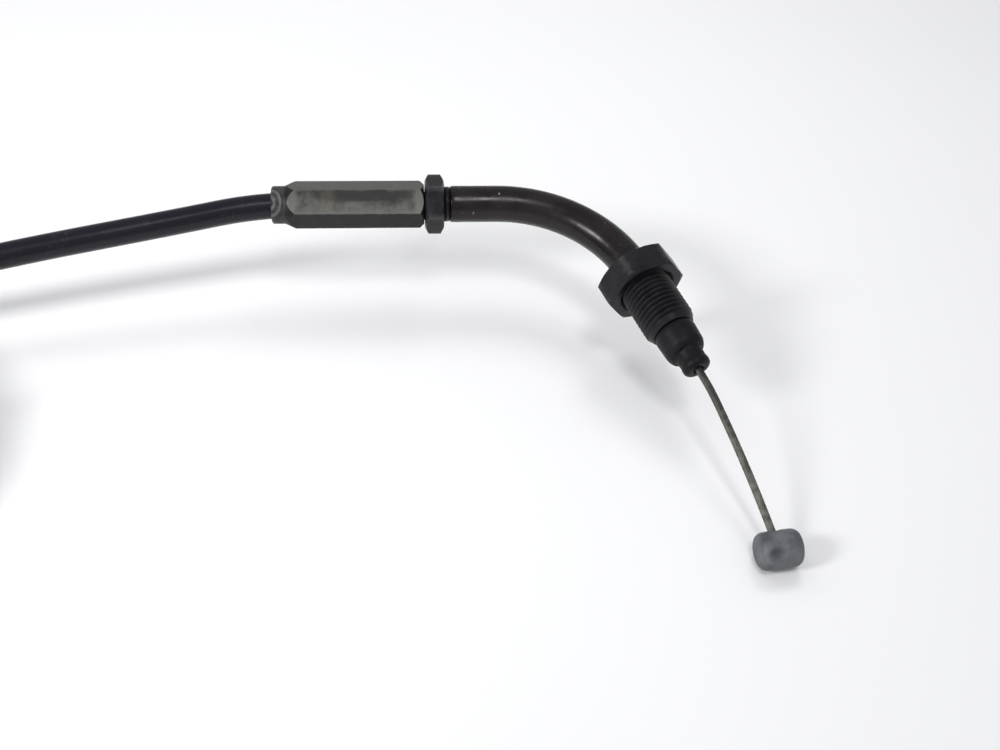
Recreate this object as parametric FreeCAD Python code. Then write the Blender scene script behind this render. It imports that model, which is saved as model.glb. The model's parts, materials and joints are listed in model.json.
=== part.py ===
"""Motorcycle throttle cable: the elbow end with its adjuster, the housing wound up for storage,
and the plain threaded end. Millimetres, +Z up, standing on the plane z = 0."""
import FreeCAD, Part
import math
import os

from FreeCAD import Vector

# ---- driving dimensions -------------------------------------------------------------------
BARREL = Vector(-28.5, 35.1, 22.1)       # middle of the adjuster's hexagon; its axis runs along +X
AXIS_X = Vector(1, 0, 0)
RUNNING_GAP = 0.08                      # radial clearance of everything that turns or slides

WIRE_RADIUS = 0.7
HOUSING_RADIUS = 2.5
CONDUIT_RADIUS = 1.9
LINER_RADIUS = 1.15
LINER_BORE_RADIUS = 0.85

HEX_ACROSS_FLATS = 8.0
HEX_END = 12.0                          # along X from the middle of the hexagon
BARREL_TAPER_LENGTH = 2.3
BARREL_COLLAR_LENGTH = 2.5
BARREL_COLLAR_RADIUS = 3.65
BARREL_START = -17.4
BARREL_CAP_BORE_END = -4.0              # along X from the middle of the hexagon
FACING_ANGLE = 135.0                    # direction that the adjuster's worn flat faces, about X

STUD_RADIUS = 3.0                       # M6 x 1
STUD_INNER_END = -2.0
LOCK_NUT_ACROSS_FLATS = 10.0
LOCK_NUT_THICKNESS = 3.6
LOCK_NUT_GAP = 0.25                     # to the barrel: a quarter turn of the M6 thread
NECK_RADIUS = 3.4

ELBOW_RADIUS = 3.55
ELBOW_BORE_RADIUS = 2.15
ELBOW_STRAIGHT_START = 16.9             # along X from the middle of the hexagon
ELBOW_BEND_START = 26.2
ELBOW_BEND_RADIUS = 27.3
ELBOW_BEND_ANGLE = 68.8
ELBOW_BEND_TILT = 10.4                  # how far the plane of the bend dips below level

SLEEVE_RADIUS = 5.0                     # M10 x 1
SLEEVE_START = 0.8                      # along the thread's axis from the end of the bend
SLEEVE_END = 15.4
SLEEVE_LEAD_IN = (1.6, 0.8)             # length and depth of the taper at the thread's free end
RELIEF = (4.3, 5.3)                     # thread relief under the mounting nut
RELIEF_DEPTH = 0.4
MOUNT_NUT_ACROSS_FLATS = 14.0
MOUNT_NUT_THICKNESS = 5.2
BOOT_RADIUS = 3.95
BOOT_STEP = 20.9
BOOT_TIP = 24.9
BOOT_NOSE_RADIUS = 2.6
WIRE_TRAVEL = 22.0

NIPPLE_RADIUS = 3.3
NIPPLE_LENGTH = 7.6
NIPPLE = BARREL + Vector(70.35, -72.2, NIPPLE_RADIUS - BARREL.z)
NIPPLE_AXIS = Vector(0.99, 0.139, 0)

COIL_CENTRE = Vector(BARREL.x - 108.0, BARREL.y - 51.0, 0.9)
COIL_MEAN_RADIUS = 27.5
COIL_COLUMNS = 2
COIL_LAYERS = 3
COIL_EXIT_ANGLE = 235.0                 # where the housing leaves the coil, counter-clockwise from +X

CARB_STUD_LENGTH = 18.2
CARB_NUT_THICKNESS = 3.2
CARB_BRACKET_GAP = 4.0
CARB_WIRE_LENGTH = 27.5
CARB_NIPPLE_RADIUS = 2.5
CARB_NIPPLE_LENGTH = 6.0

# ---- route of the housing, from the adjuster to the coil and from the coil to its far end ---
LEAD_ROUTE = [
    BARREL + Vector(-11.4, 0, 0),
    BARREL + Vector(-20.0, 0, 0),
    BARREL + Vector(-36.0, -2.9, -1.8),
    BARREL + Vector(-65.0, -8.9, -4.0),
    BARREL + Vector(-91.3, -15.2, -6.6),
    BARREL + Vector(-116.3, -22.4, -8.6),
]
exit_angle = math.radians(COIL_EXIT_ANGLE)
COIL_EXIT = COIL_CENTRE + Vector(30.0 * math.cos(exit_angle), 30.0 * math.sin(exit_angle), 7.5)
CARB_AXIS = Vector(-math.sin(exit_angle), math.cos(exit_angle), 0)
TAIL_ROUTE = [
    COIL_EXIT,
    COIL_EXIT + CARB_AXIS * 9.0,
    COIL_EXIT + CARB_AXIS * 21.0 + Vector(0, 0, -3.3),
    COIL_EXIT + CARB_AXIS * 30.5 + Vector(0, 0, -3.3),
]


# ---- shapes that repeat ---------------------------------------------------------------------
def unit(vector):
    """The vector at length 1."""
    return vector / vector.Length


def rod(start, direction, length, radius):
    return Part.makeCylinder(radius, length, start, direction)


def ring(start, direction, length, radius, bore):
    return rod(start, direction, length, radius).cut(rod(start, direction, length, bore))


def turned(start, direction, outline):
    """Solid of revolution; outline is (distance along the axis, radius) from end to end."""
    first, last = outline[0][0], outline[-1][0]
    corners = [Vector(0, 0, first)] + [Vector(r, 0, d) for d, r in outline] + [Vector(0, 0, last)]
    face = Part.Face(Part.makePolygon(corners + corners[:1]))
    solid = face.revolve(Vector(0, 0, 0), Vector(0, 0, 1), 360)
    solid.Placement = FreeCAD.Placement(start, FreeCAD.Rotation(Vector(0, 0, 1), direction))
    return solid


def hexagon(start, direction, length, across_flats, flat_towards):
    """Hexagonal bar with one flat facing flat_towards."""
    axis = unit(direction)
    facing = unit(flat_towards - axis * flat_towards.dot(axis))
    corner_radius = across_flats / math.sqrt(3)
    turns = [FreeCAD.Rotation(axis, 30 + 60 * i) for i in range(7)]
    corners = [start + turn.multVec(facing) * corner_radius for turn in turns]
    return Part.Face(Part.makePolygon(corners)).extrude(axis * length)


def nut(start, direction, thickness, across_flats, flat_towards, bore, face_share=0.94):
    """Hexagonal nut, chamfered at 30 degrees on both faces, with a countersunk bore."""
    corner_radius = across_flats / math.sqrt(3)
    face_radius = face_share * across_flats / 2
    drop = (corner_radius - face_radius) * math.tan(math.radians(30))
    envelope = turned(start, direction, [
        (0, face_radius),
        (drop, corner_radius),
        (thickness - drop, corner_radius),
        (thickness, face_radius),
    ])
    sink = 0.6
    hole = turned(start, direction, [
        (0, bore + sink),
        (sink, bore),
        (thickness - sink, bore),
        (thickness, bore + sink),
    ])
    return hexagon(start, direction, thickness, across_flats, flat_towards).common(envelope).cut(hole)


def rounded_path(points):
    """Straight runs joined by tangent arcs, each as large as its two runs allow."""
    edges = []
    radii = []
    start = points[0]
    for before, corner, after in zip(points, points[1:], points[2:]):
        inward = unit(corner - before)
        outward = unit(after - corner)
        reach = 0.45 * min((corner - before).Length, (after - corner).Length)
        half_turn = inward.getAngle(outward) / 2
        radius = reach / math.tan(half_turn)
        arc_start = corner - inward * reach
        arc_end = corner + outward * reach
        to_centre = unit(outward - inward)
        middle = corner + to_centre * radius * (1 / math.cos(half_turn) - 1)
        edges.append(Part.LineSegment(start, arc_start).toShape())
        edges.append(Part.Arc(arc_start, middle, arc_end).toShape())
        radii.append(round(radius, 1))
        start = arc_end
    edges.append(Part.LineSegment(start, points[-1]).toShape())
    return Part.Wire(edges), radii


def swept(path, radius):
    """Round bar of one radius along a wire."""
    first = path.Edges[0]
    start = first.valueAt(first.FirstParameter)
    direction = first.tangentAt(first.FirstParameter)
    section = Part.Wire([Part.Circle(start, direction, radius).toShape()])
    return path.makePipeShell([section], True, False)


def housing_tube(name, points):
    """Free stretch of the housing; prints its radii and checks its volume."""
    path, radii = rounded_path(points)
    solid = swept(path, HOUSING_RADIUS)
    share = solid.Volume / (math.pi * HOUSING_RADIUS**2 * path.Length)
    print(f"{name}: length {path.Length:.1f}, radii {radii}, volume share {share:.4f}")
    return solid


# ---- the elbow's own line -------------------------------------------------------------------
tilt = math.radians(ELBOW_BEND_TILT)
SIDEWAYS = Vector(0, -math.cos(tilt), -math.sin(tilt))
BEND_START = BARREL + AXIS_X * ELBOW_BEND_START


def bend_point(degrees):
    turn = math.radians(degrees)
    along = AXIS_X * math.sin(turn)
    across = SIDEWAYS * (1 - math.cos(turn))
    return BEND_START + (along + across) * ELBOW_BEND_RADIUS


BEND_END = bend_point(ELBOW_BEND_ANGLE)
bend = math.radians(ELBOW_BEND_ANGLE)
THREAD_AXIS = AXIS_X * math.cos(bend) + SIDEWAYS * math.sin(bend)


def thread_point(distance):
    """Point on the M10 thread's axis, measured from the end of the bend."""
    return BEND_END + THREAD_AXIS * distance


def along_adjuster(distance):
    """Point on the adjuster's axis, measured from the middle of its hexagon."""
    return BARREL + AXIS_X * distance


def elbow_path(straight_start, straight_end):
    """The elbow's centreline between a point before the bend and one after it."""
    start = along_adjuster(straight_start)
    return Part.Wire([
        Part.LineSegment(start, BEND_START).toShape(),
        Part.Arc(BEND_START, bend_point(ELBOW_BEND_ANGLE / 2), BEND_END).toShape(),
        Part.LineSegment(BEND_END, thread_point(straight_end)).toShape(),
    ])


# ---- adjuster -------------------------------------------------------------------------------
LOCK_NUT_START = HEX_END + LOCK_NUT_GAP
NECK_START = LOCK_NUT_START + LOCK_NUT_THICKNESS + 0.05
CAP_START = BARREL_START + 2.0
CAP_END = LEAD_ROUTE[0].x - BARREL.x + 1.9
CAP_RADIUS = 3.15
worn_flat = FreeCAD.Rotation(AXIS_X, FACING_ANGLE).multVec(Vector(0, 1, 0))


def adjuster_barrel():
    corner_radius = HEX_ACROSS_FLATS / math.sqrt(3)
    face_radius = 0.48 * HEX_ACROSS_FLATS
    blank = hexagon(along_adjuster(BARREL_START), AXIS_X, HEX_END - BARREL_START, HEX_ACROSS_FLATS, worn_flat)
    envelope = turned(BARREL, AXIS_X, [
        (BARREL_START, BARREL_COLLAR_RADIUS - 0.3),
        (BARREL_START + 0.3, BARREL_COLLAR_RADIUS),
        (BARREL_START + BARREL_COLLAR_LENGTH, BARREL_COLLAR_RADIUS),
        (BARREL_START + BARREL_COLLAR_LENGTH + BARREL_TAPER_LENGTH, corner_radius + 0.1),
        (HEX_END - 0.9, corner_radius + 0.1),
        (HEX_END, face_radius),
    ])
    bore = turned(BARREL, AXIS_X, [
        (BARREL_START, HOUSING_RADIUS + RUNNING_GAP),
        (CAP_START - 0.3, HOUSING_RADIUS + RUNNING_GAP),
        (CAP_START - 0.3, CAP_RADIUS + RUNNING_GAP),
        (BARREL_CAP_BORE_END, CAP_RADIUS + RUNNING_GAP),
        (BARREL_CAP_BORE_END, STUD_RADIUS + RUNNING_GAP),
        (HEX_END, STUD_RADIUS + RUNNING_GAP),
    ])
    return blank.common(envelope).cut(bore)


def housing_end_cap():
    """Pressed cup on the end of the housing, held inside the barrel, free to turn there."""
    jacket_end = LEAD_ROUTE[0].x - BARREL.x
    cup = rod(along_adjuster(CAP_START), AXIS_X, CAP_END - CAP_START, CAP_RADIUS)
    hollow = turned(BARREL, AXIS_X, [
        (CAP_START, HOUSING_RADIUS + 0.02),
        (jacket_end + 1.0, HOUSING_RADIUS + 0.02),
        (jacket_end + 1.0, LINER_RADIUS + 0.05),
        (CAP_END, LINER_RADIUS + 0.05),
    ])
    return cup.cut(hollow)


def conduit_end():
    """Last of the steel conduit, bared where the jacket stops."""
    return ring(LEAD_ROUTE[0], AXIS_X, 0.95, CONDUIT_RADIUS, LINER_RADIUS + 0.03)


def liner_end():
    """Last of the slippery liner, which stands out of the conduit."""
    return ring(LEAD_ROUTE[0], AXIS_X, 4.2, LINER_RADIUS, LINER_BORE_RADIUS)


def adjuster_inner_wire():
    """The inner wire's hidden stretch through the adjuster."""
    start = LEAD_ROUTE[0] + AXIS_X * 0.1
    length = ELBOW_STRAIGHT_START + 3.0 - (start.x - BARREL.x)
    return rod(start, AXIS_X, length, WIRE_RADIUS)


def elbow_stud():
    """M6 stud that is fixed in the end of the elbow, with its shoulder."""
    spigot_end = ELBOW_STRAIGHT_START + 4.0
    body = turned(BARREL, AXIS_X, [
        (STUD_INNER_END, STUD_RADIUS - 0.6),
        (STUD_INNER_END + 0.6, STUD_RADIUS),
        (NECK_START, STUD_RADIUS),
        (NECK_START, NECK_RADIUS),
        (ELBOW_STRAIGHT_START, NECK_RADIUS),
        (ELBOW_STRAIGHT_START, ELBOW_BORE_RADIUS - 0.02),
        (spigot_end, ELBOW_BORE_RADIUS - 0.02),
    ])
    length = spigot_end - STUD_INNER_END
    return body.cut(rod(along_adjuster(STUD_INNER_END), AXIS_X, length, 1.5))


def lock_nut():
    facing = FreeCAD.Rotation(AXIS_X, 4).multVec(worn_flat)
    bore = STUD_RADIUS + RUNNING_GAP
    start = along_adjuster(LOCK_NUT_START)
    return nut(start, AXIS_X, LOCK_NUT_THICKNESS, LOCK_NUT_ACROSS_FLATS, facing, bore)


# ---- elbow ----------------------------------------------------------------------------------
TUBE_END = 9.0                          # along the thread's axis, inside the sleeve
LINER_START = ELBOW_STRAIGHT_START + 4.3


def elbow_tube():
    path = elbow_path(ELBOW_STRAIGHT_START, TUBE_END)
    outer = swept(path, ELBOW_RADIUS)
    rounding = 0.7
    end_ring = ring(along_adjuster(ELBOW_STRAIGHT_START), AXIS_X, rounding, ELBOW_RADIUS + 1, 0.1)
    end_form = turned(along_adjuster(ELBOW_STRAIGHT_START), AXIS_X, [
        (0, ELBOW_RADIUS - rounding),
        (0.3 * rounding, ELBOW_RADIUS - 0.3 * rounding),
        (rounding, ELBOW_RADIUS),
    ])
    return outer.cut(end_ring.cut(end_form)).cut(swept(path, ELBOW_BORE_RADIUS))


def elbow_liner():
    path = elbow_path(LINER_START, TUBE_END)
    return swept(path, ELBOW_BORE_RADIUS - 0.05).cut(swept(path, LINER_BORE_RADIUS + 0.35))


def elbow_inner_wire():
    """The inner wire's hidden stretch round the bend."""
    return swept(elbow_path(LINER_START, 0.8), WIRE_RADIUS)


def threaded_sleeve():
    """M10 sleeve on the end of the elbow, threaded over its whole length."""
    chamfer = 0.9
    body = turned(BEND_END, THREAD_AXIS, [
        (SLEEVE_START, SLEEVE_RADIUS - chamfer),
        (SLEEVE_START + chamfer, SLEEVE_RADIUS),
        (RELIEF[0], SLEEVE_RADIUS),
        (RELIEF[0], SLEEVE_RADIUS - RELIEF_DEPTH),
        (RELIEF[1], SLEEVE_RADIUS - RELIEF_DEPTH),
        (RELIEF[1], SLEEVE_RADIUS),
        (SLEEVE_END - SLEEVE_LEAD_IN[0], SLEEVE_RADIUS),
        (SLEEVE_END, SLEEVE_RADIUS - SLEEVE_LEAD_IN[1]),
    ])
    bore = turned(BEND_END, THREAD_AXIS, [
        (SLEEVE_START, ELBOW_RADIUS + 0.03),
        (TUBE_END, ELBOW_RADIUS + 0.03),
        (TUBE_END, ELBOW_RADIUS - 0.5),
        (SLEEVE_END, ELBOW_RADIUS - 0.5),
    ])
    return body.cut(bore)


def mounting_nut():
    """Jam nut that locks the sleeve in the throttle's casing."""
    view_side = Vector(-0.1, -0.7, 0.7)
    facing = FreeCAD.Rotation(THREAD_AXIS, 43).multVec(view_side)
    bore = SLEEVE_RADIUS + RUNNING_GAP
    across_flats = MOUNT_NUT_ACROSS_FLATS
    return nut(thread_point(0), THREAD_AXIS, MOUNT_NUT_THICKNESS, across_flats, facing, bore, face_share=1.02)


def seal_boot():
    """Stepped rubber seal that plugs the sleeve and wipes the inner wire."""
    plug_start = SLEEVE_END - 3.5
    body = turned(BEND_END, THREAD_AXIS, [
        (plug_start, ELBOW_RADIUS - 0.55),
        (SLEEVE_END + 0.05, ELBOW_RADIUS - 0.55),
        (SLEEVE_END + 0.05, BOOT_RADIUS),
        (BOOT_STEP - 1.0, BOOT_RADIUS - 0.1),
        (BOOT_STEP, BOOT_RADIUS - 0.9),
        (BOOT_STEP, BOOT_NOSE_RADIUS - 0.15),
        (BOOT_TIP - 1.6, BOOT_NOSE_RADIUS - 0.15),
        (BOOT_TIP - 1.3, BOOT_NOSE_RADIUS),
        (BOOT_TIP - 0.5, BOOT_NOSE_RADIUS),
        (BOOT_TIP, BOOT_NOSE_RADIUS - 0.5),
    ])
    return body.cut(rod(thread_point(plug_start), THREAD_AXIS, BOOT_TIP - plug_start, WIRE_RADIUS + 0.25))


# ---- inner wire at the handlebar end ---------------------------------------------------------
WIRE_TAIL_START = BOOT_TIP - WIRE_TRAVEL - 1.5
FIRST_TURN = 9.0
FIRST_LENGTH = 12.0


def handlebar_wire_path():
    """Straight out of the boot, a short bend under the weight, then a longer one to the nipple."""
    tip = thread_point(BOOT_TIP)
    chord = NIPPLE - tip
    droop = unit(chord - THREAD_AXIS * chord.dot(THREAD_AXIS))

    def arc_end(start, heading, side, length, degrees):
        turn = math.radians(degrees)
        radius = length / turn
        point = start + heading * radius * math.sin(turn) + side * radius * (1 - math.cos(turn))
        new_heading = heading * math.cos(turn) + side * math.sin(turn)
        new_side = side * math.cos(turn) - heading * math.sin(turn)
        return point, new_heading, new_side

    knee, heading, side = arc_end(tip, THREAD_AXIS, droop, FIRST_LENGTH, FIRST_TURN)
    knee_middle = arc_end(tip, THREAD_AXIS, droop, FIRST_LENGTH / 2, FIRST_TURN / 2)[0]
    rest = NIPPLE - knee
    half_turn = heading.getAngle(rest)
    if rest.dot(side) < 0:
        side = side * -1
    radius = rest.Length / 2 / math.sin(half_turn)
    middle = knee + heading * radius * math.sin(half_turn) + side * radius * (1 - math.cos(half_turn))
    print(f"inner wire: second turn {math.degrees(2 * half_turn):.1f}, exposed {FIRST_LENGTH + rest.Length:.1f}")
    return Part.Wire([
        Part.LineSegment(thread_point(WIRE_TAIL_START), tip).toShape(),
        Part.Arc(tip, knee_middle, knee).toShape(),
        Part.Arc(knee, middle, NIPPLE).toShape(),
    ])


WIRE_PATH = handlebar_wire_path()


def handlebar_inner_wire():
    """The inner wire that the twist grip pulls, up to the skin of its nipple."""
    wire = swept(WIRE_PATH, WIRE_RADIUS)
    return wire.cut(rod(NIPPLE - NIPPLE_AXIS * 10, NIPPLE_AXIS, 20, NIPPLE_RADIUS - 0.9))


def barrel_nipple(centre, axis, length, radius, edge):
    """Die-cast barrel with rounded edges, lying across the wire."""
    axis = unit(axis)
    outline = [(-length / 2, radius - edge)]
    for step in range(1, 4):
        angle = math.radians(30 * step)
        outline.append((-length / 2 + edge * (1 - math.cos(angle)), radius - edge + edge * math.sin(angle)))
    outline += [(-distance, r) for distance, r in reversed(outline)]
    return turned(centre, axis, outline)


def handlebar_nipple():
    wire_hole = swept(WIRE_PATH, WIRE_RADIUS + 0.01)
    body = barrel_nipple(NIPPLE, NIPPLE_AXIS, NIPPLE_LENGTH, NIPPLE_RADIUS, 1.0)
    core = rod(NIPPLE - unit(NIPPLE_AXIS) * 3, NIPPLE_AXIS, 6, NIPPLE_RADIUS - 0.9)
    return body.cut(wire_hole.cut(core))


# ---- coil -----------------------------------------------------------------------------------
COIL_HALF_WIDTH = COIL_COLUMNS * HOUSING_RADIUS
COIL_HEIGHT = 2 * COIL_LAYERS * HOUSING_RADIUS


def housing_coil():
    """Outer shape of the wound-up housing: a ring of round turns."""
    outer = rod(COIL_CENTRE, Vector(0, 0, 1), COIL_HEIGHT, COIL_MEAN_RADIUS + COIL_HALF_WIDTH)
    inner = rod(COIL_CENTRE, Vector(0, 0, 1), COIL_HEIGHT, COIL_MEAN_RADIUS - COIL_HALF_WIDTH)
    solid = outer.cut(inner)
    return solid.makeFillet(2.2, [edge for edge in solid.Edges if len(edge.Vertexes) == 1 and edge.Length > 100])


def coil_tie(angle):
    """Flat band closed round all the turns at one place."""
    direction = Vector(math.cos(math.radians(angle)), math.sin(math.radians(angle)), 0)
    across = Vector(-direction.y, direction.x, 0)
    middle = COIL_CENTRE + direction * COIL_MEAN_RADIUS
    gap = 0.1
    band = 0.8
    width = 4.0

    def block(margin):
        half = COIL_HALF_WIDTH + margin
        low = middle - direction * half - across * width / 2 + Vector(0, 0, -margin)
        face = Part.Face(Part.makePolygon([
            low,
            low + direction * 2 * half,
            low + direction * 2 * half + Vector(0, 0, COIL_HEIGHT + 2 * margin),
            low + Vector(0, 0, COIL_HEIGHT + 2 * margin),
            low,
        ]))
        return face.extrude(across * width)

    return block(gap + band).cut(block(gap))


# ---- plain threaded end at the carburettor ---------------------------------------------------
CARB_CAP_LENGTH = 9.0
CARB_CAP_START = TAIL_ROUTE[-1] - CARB_AXIS * 7.0
CARB_CAP_RADIUS = 3.6
CARB_STUD_START = CARB_CAP_START + CARB_AXIS * CARB_CAP_LENGTH
CARB_STUD_END = CARB_STUD_START + CARB_AXIS * CARB_STUD_LENGTH
CARB_BORE_RADIUS = 1.1
CARB_BOOT_LENGTH = 9.0
CARB_BOOT_START = CARB_STUD_END - CARB_AXIS * 3.0
CARB_BOOT_TIP = CARB_BOOT_START + CARB_AXIS * CARB_BOOT_LENGTH
CARB_NIPPLE = CARB_BOOT_TIP + CARB_AXIS * CARB_WIRE_LENGTH


def carb_threaded_end():
    """Crimped cap and M6 thread in one turned piece."""
    body = turned(CARB_CAP_START, CARB_AXIS, [
        (0, CARB_CAP_RADIUS - 0.4),
        (0.4, CARB_CAP_RADIUS),
        (CARB_CAP_LENGTH, CARB_CAP_RADIUS),
        (CARB_CAP_LENGTH, STUD_RADIUS),
        (CARB_CAP_LENGTH + CARB_STUD_LENGTH - 0.6, STUD_RADIUS),
        (CARB_CAP_LENGTH + CARB_STUD_LENGTH, STUD_RADIUS - 0.6),
    ])
    hollow = turned(CARB_CAP_START, CARB_AXIS, [
        (0, HOUSING_RADIUS + 0.02),
        (7.1, HOUSING_RADIUS + 0.02),
        (7.1, CARB_BORE_RADIUS),
        (CARB_CAP_LENGTH + CARB_STUD_LENGTH, CARB_BORE_RADIUS),
    ])
    return body.cut(hollow)


def carb_nut(distance):
    start = CARB_STUD_START + CARB_AXIS * distance
    bore = STUD_RADIUS + RUNNING_GAP
    return nut(start, CARB_AXIS, CARB_NUT_THICKNESS, LOCK_NUT_ACROSS_FLATS, Vector(0, 0, 1), bore)


def carb_boot():
    """Small rubber boot pushed over the end of the thread."""
    body = turned(CARB_BOOT_START, CARB_AXIS, [
        (0, STUD_RADIUS + 1.0),
        (4.0, STUD_RADIUS + 1.0),
        (4.6, 2.4),
        (CARB_BOOT_LENGTH - 0.4, 1.9),
        (CARB_BOOT_LENGTH, 1.5),
    ])
    hollow = turned(CARB_BOOT_START, CARB_AXIS, [
        (0, STUD_RADIUS + 0.03),
        (3.05, STUD_RADIUS + 0.03),
        (3.05, WIRE_RADIUS + 0.15),
        (CARB_BOOT_LENGTH, WIRE_RADIUS + 0.15),
    ])
    return body.cut(hollow)


def carb_inner_wire():
    start = CARB_BOOT_TIP - CARB_AXIS * 1.5
    length = CARB_WIRE_LENGTH + 1.5 - (CARB_NIPPLE_RADIUS - 0.8)
    return rod(start, CARB_AXIS, length, WIRE_RADIUS)


def carb_nipple():
    across = CARB_AXIS.cross(Vector(0, 0, 1))
    body = barrel_nipple(CARB_NIPPLE, across, CARB_NIPPLE_LENGTH, CARB_NIPPLE_RADIUS, 0.5)
    start = CARB_NIPPLE - CARB_AXIS * (CARB_NIPPLE_RADIUS + 1)
    return body.cut(rod(start, CARB_AXIS, 1.8, WIRE_RADIUS + 0.01))


# ---- every node -----------------------------------------------------------------------------
rear_nut_place = 2.4
front_nut_place = rear_nut_place + CARB_NUT_THICKNESS + CARB_BRACKET_GAP
NODES = {
    "handlebar_nipple": handlebar_nipple(),
    "handlebar_inner_wire": handlebar_inner_wire(),
    "seal_boot": seal_boot(),
    "threaded_sleeve": threaded_sleeve(),
    "mounting_nut": mounting_nut(),
    "elbow_tube": elbow_tube(),
    "elbow_liner": elbow_liner(),
    "elbow_inner_wire": elbow_inner_wire(),
    "elbow_stud": elbow_stud(),
    "lock_nut": lock_nut(),
    "adjuster_barrel": adjuster_barrel(),
    "adjuster_inner_wire": adjuster_inner_wire(),
    "housing_end_cap": housing_end_cap(),
    "conduit_end": conduit_end(),
    "liner_end": liner_end(),
    "housing_lead": housing_tube("housing_lead", LEAD_ROUTE),
    "housing_coil": housing_coil(),
    "housing_tail": housing_tube("housing_tail", TAIL_ROUTE),
    "coil_tie_near": coil_tie(200),
    "coil_tie_far": coil_tie(20),
    "carb_threaded_end": carb_threaded_end(),
    "carb_rear_nut": carb_nut(rear_nut_place),
    "carb_front_nut": carb_nut(front_nut_place),
    "carb_boot": carb_boot(),
    "carb_inner_wire": carb_inner_wire(),
    "carb_nipple": carb_nipple(),
}

os.makedirs("parts", exist_ok=True)
for name, shape in NODES.items():
    box = shape.optimalBoundingBox()
    print(f"{name}: solids {len(shape.Solids)} valid {shape.isValid()} volume {shape.Volume:.1f} "
          f"x {box.XMin:.1f}..{box.XMax:.1f} y {box.YMin:.1f}..{box.YMax:.1f} z {box.ZMin:.2f}..{box.ZMax:.2f}")
    shape.exportStep(f"parts/{name}.step")
print("bend end", BEND_END, "thread axis", THREAD_AXIS)
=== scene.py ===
"""Motorcycle throttle cable, elbow end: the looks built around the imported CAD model. Metres, +Z up."""
import json
import math

import bmesh
import bpy
from mathutils import Matrix, Vector


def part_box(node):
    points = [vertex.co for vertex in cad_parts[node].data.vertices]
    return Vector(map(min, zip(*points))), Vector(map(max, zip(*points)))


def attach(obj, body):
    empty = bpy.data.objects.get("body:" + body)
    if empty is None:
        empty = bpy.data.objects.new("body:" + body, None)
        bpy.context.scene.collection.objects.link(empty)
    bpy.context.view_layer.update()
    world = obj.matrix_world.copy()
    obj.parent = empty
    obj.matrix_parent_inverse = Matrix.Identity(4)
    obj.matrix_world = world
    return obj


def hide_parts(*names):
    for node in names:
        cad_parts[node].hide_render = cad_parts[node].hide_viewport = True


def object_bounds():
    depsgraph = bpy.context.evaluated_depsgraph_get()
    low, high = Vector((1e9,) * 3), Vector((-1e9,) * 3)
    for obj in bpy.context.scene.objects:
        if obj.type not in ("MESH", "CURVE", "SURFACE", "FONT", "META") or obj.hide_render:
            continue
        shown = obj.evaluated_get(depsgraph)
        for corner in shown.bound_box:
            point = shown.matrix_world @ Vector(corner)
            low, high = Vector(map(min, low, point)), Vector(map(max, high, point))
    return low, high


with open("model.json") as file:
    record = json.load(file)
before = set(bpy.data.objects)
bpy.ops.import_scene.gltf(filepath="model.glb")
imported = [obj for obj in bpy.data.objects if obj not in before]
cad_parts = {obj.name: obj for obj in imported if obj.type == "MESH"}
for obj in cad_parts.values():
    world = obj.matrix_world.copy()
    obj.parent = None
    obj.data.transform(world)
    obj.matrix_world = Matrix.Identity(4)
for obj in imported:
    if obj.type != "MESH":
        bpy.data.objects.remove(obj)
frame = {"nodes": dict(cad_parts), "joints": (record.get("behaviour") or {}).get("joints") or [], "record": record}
cad_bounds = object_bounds()
MM = 0.001
UP = Vector((0, 0, 1))
AXIS_X = Vector((1, 0, 0))


# ---- places, worked out from the frame ------------------------------------------------------
def joint(name):
    return next(j for j in frame["joints"] if j["name"] == name)


def middle(node):
    low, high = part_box(node)
    return (low + high) / 2


BARREL = Vector(joint("barrel_turn")["pos_m"])          # middle of the adjuster's hexagon
THREAD_AXIS = Vector(joint("inner_wire_pull")["axis"]).normalized()
CARB_AXIS = Vector(joint("carb_wire_draw")["axis"]).normalized()
MOUNTS = {m["name"]: m for m in frame["record"]["mounts"]}
NIPPLE = Vector(MOUNTS["handlebar_nipple_seat"]["pos_m"])
NIPPLE_AXIS = Vector(MOUNTS["handlebar_nipple_seat"]["axis"]).normalized()
CARB_NIPPLE = Vector(MOUNTS["carb_nipple_seat"]["pos_m"])
HOLLOW_OFFSET = 1.4 * MM                                 # of the nipple's cast hollow, against NIPPLE_AXIS
CARB_WIRE_LENGTH = 27.5 * MM
CARB_CAP_TO_NIPPLE = 60.7 * MM
CARB_CAP_LENGTH = 9 * MM
CARB_STUD_LENGTH = 18.2 * MM
CARB_BOOT_LENGTH = 9 * MM
CARB_BOOT_TIP = CARB_NIPPLE - CARB_AXIS * CARB_WIRE_LENGTH
THREAD_MOUNT_AT = 9.55 * MM                              # along the thread's axis from the bend's end
BEND_END = Vector(MOUNTS["handlebar_thread"]["pos_m"]) - THREAD_AXIS * THREAD_MOUNT_AT

HOUSING_RADIUS = 2.5 * MM
WIRE_RADIUS = 0.7 * MM
STRAND_LAY = 11 * MM                                     # length of one turn of the outer wires
OUTER_WIRES = 12
OUTER_WIRE_SHARE = 0.207                                 # of the strand's radius, so that they just touch
STUD_RADIUS = 3.0 * MM
SLEEVE_RADIUS = 5.0 * MM
PITCH = 1.0 * MM
THREAD_DEPTH = 0.58 * PITCH
ROWS_PER_TURN = 12
THREAD_COLUMNS = 72
SWEPT_COLUMNS = 96
ELBOW_RADIUS = 3.55 * MM
ELBOW_BORE = 2.15 * MM
ELBOW_START = 16.9 * MM                                  # along X from the middle of the hexagon
BEND_START = BARREL + AXIS_X * 26.2 * MM
BEND_RADIUS = 27.3 * MM
BEND_ANGLE = math.acos(THREAD_AXIS.x)
SIDEWAYS = (THREAD_AXIS - AXIS_X * THREAD_AXIS.x).normalized()
SLEEVE_START = 0.8 * MM                                  # along the thread's axis from the bend's end
SLEEVE_END = 15.4 * MM
BOOT_TIP = 24.9 * MM
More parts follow.
